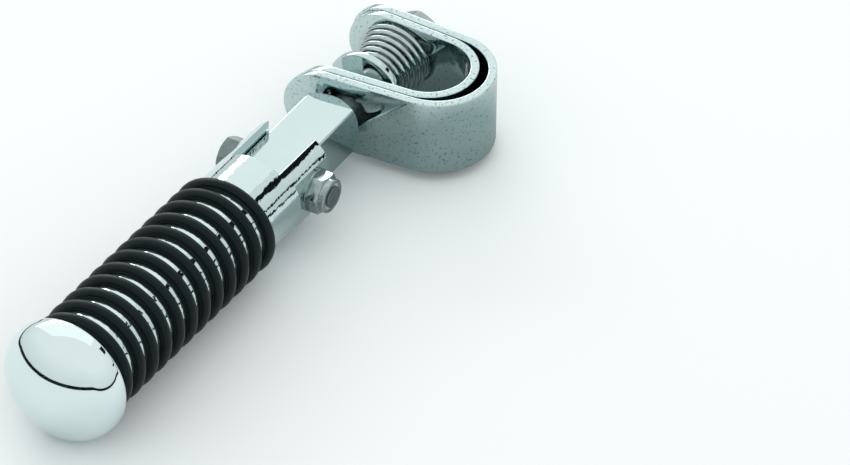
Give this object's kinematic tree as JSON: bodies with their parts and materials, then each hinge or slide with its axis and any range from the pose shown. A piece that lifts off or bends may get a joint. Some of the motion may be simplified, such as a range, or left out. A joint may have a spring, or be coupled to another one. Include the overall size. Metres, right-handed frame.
{
  "type": "motorcycle foot peg",
  "caption": "Clamp-on folding foot peg: strap clamp for a round guard tube, square swivelling arm, and a grooved round peg with rubber rings and a domed end cap.",
  "frame": {"origin": "on the axis of the tube that the clamp holds, at half the straps' width", "axes": "+Z along the clamped tube, up as the part lies; +Y from the domed end towards the clamp bolt's head; +X from the clamp's ears towards its bend, the side of the pivot nut"},
  "size_m": [0.0521, 0.1828, 0.0342],
  "materials": {
    "chrome": "mirror-bright decorative chrome plate over steel",
    "zinc": "bright zinc-plated steel hardware, slightly duller than the chrome",
    "rubber": "satin black moulded rubber",
    "nylon": "natural nylon, off-white"
  },
  "bodies": {
    "clamp": {"outer_strap": "chrome", "inner_strap": "chrome", "clamp_bolt": "zinc", "lock_washer": "zinc"},
    "stack": {"stack_washer": "zinc", "cone_spring": "zinc"},
    "arm": {"arm_bar": "chrome"},
    "peg": {"peg_body": "chrome", "pivot_bolt": "zinc", "head_washer": "zinc", "nut_washer": "zinc", "pivot_nut": "zinc", "nut_insert": "nylon", "end_cap": "chrome", "cap_stud": "zinc", "o_ring_01": "rubber", "o_ring_02": "rubber", "o_ring_03": "rubber", "o_ring_04": "rubber", "o_ring_05": "rubber", "o_ring_06": "rubber", "o_ring_07": "rubber", "o_ring_08": "rubber", "o_ring_09": "rubber", "o_ring_10": "rubber", "o_ring_11": "rubber", "o_ring_12": "rubber"}
  },
  "joints": [
    {"name": "arm_swivel", "type": "hinge", "parent": "clamp", "child": "arm", "pos_m": [-0.0164, 0, 0], "axis": [0, 1, 0], "continuous": true},
    {"name": "peg_fold", "type": "hinge", "parent": "arm", "child": "peg", "pos_m": [-0.0164, -0.04807, 0], "axis": [1, 0, 0], "range_deg": [0, 100]},
    {"name": "stack_slide", "type": "slide", "parent": "clamp", "child": "stack", "axis": [0, 1, 0], "range_m": [-0.006, 0]}
  ]
}
